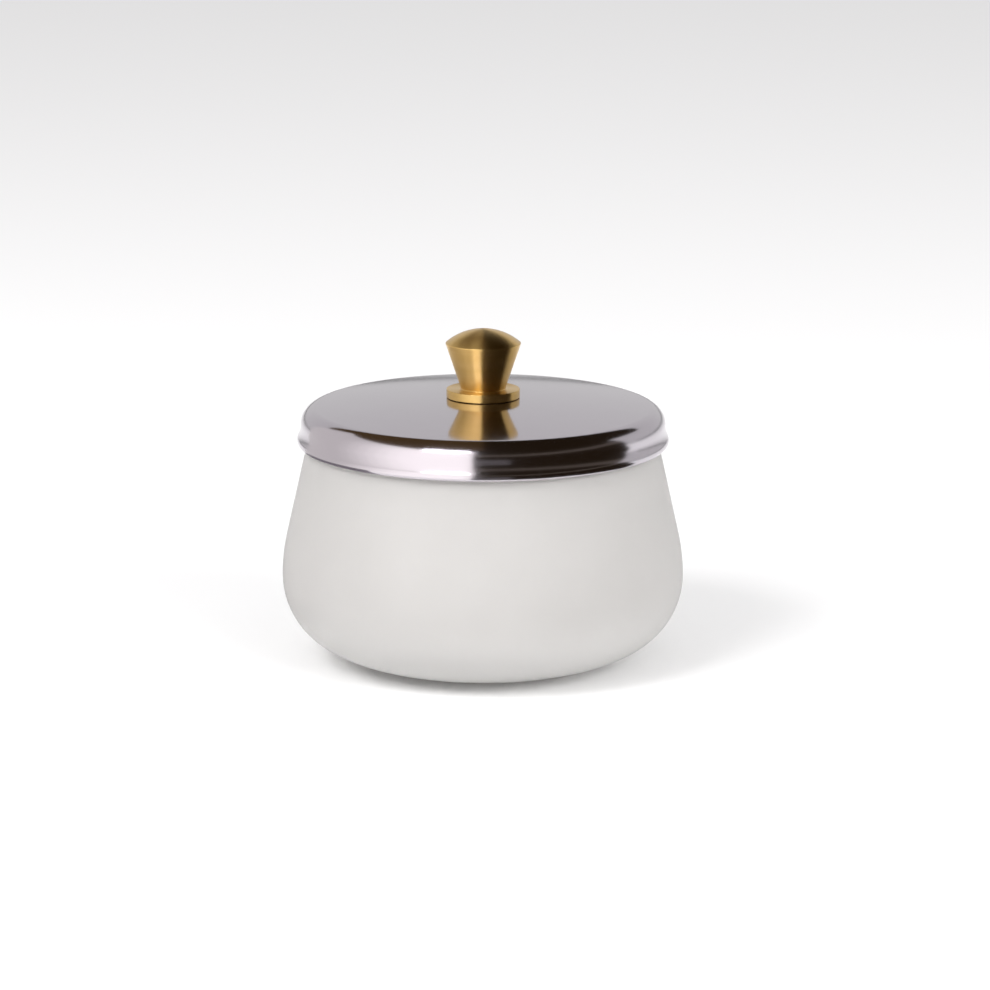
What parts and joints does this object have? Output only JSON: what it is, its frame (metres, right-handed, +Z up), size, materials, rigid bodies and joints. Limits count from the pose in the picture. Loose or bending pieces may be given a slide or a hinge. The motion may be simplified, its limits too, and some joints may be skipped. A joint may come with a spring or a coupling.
{
  "type": "dappen dish",
  "caption": "Frosted round glass dish with a tapered neck, closed by a loose polished metal lid with a turned brass knob; holds small amounts of liquid or powder.",
  "frame": {"origin": "centre of the base, on the surface that the dish stands on", "axes": "+Z up along the axis of the bowl, lid and knob; the dish is round, so X and Y are free"},
  "size_m": [0.06, 0.06, 0.0501],
  "materials": {
    "frosted_glass": "matte",
    "polished_steel": "polished",
    "turned_brass": "satin",
    "fastener_steel": "satin"
  },
  "bodies": {
    "bowl": {"glass_bowl": "frosted_glass"},
    "lid": {"lid_shell": "polished_steel", "lid_knob": "turned_brass", "knob_screw": "fastener_steel", "knob_washer": "fastener_steel"}
  },
  "joints": [
    {"name": "lid_lift", "type": "slide", "parent": "bowl", "child": "lid", "axis": [0, 0, 1], "range_m": [0, 0.06]}
  ]
}
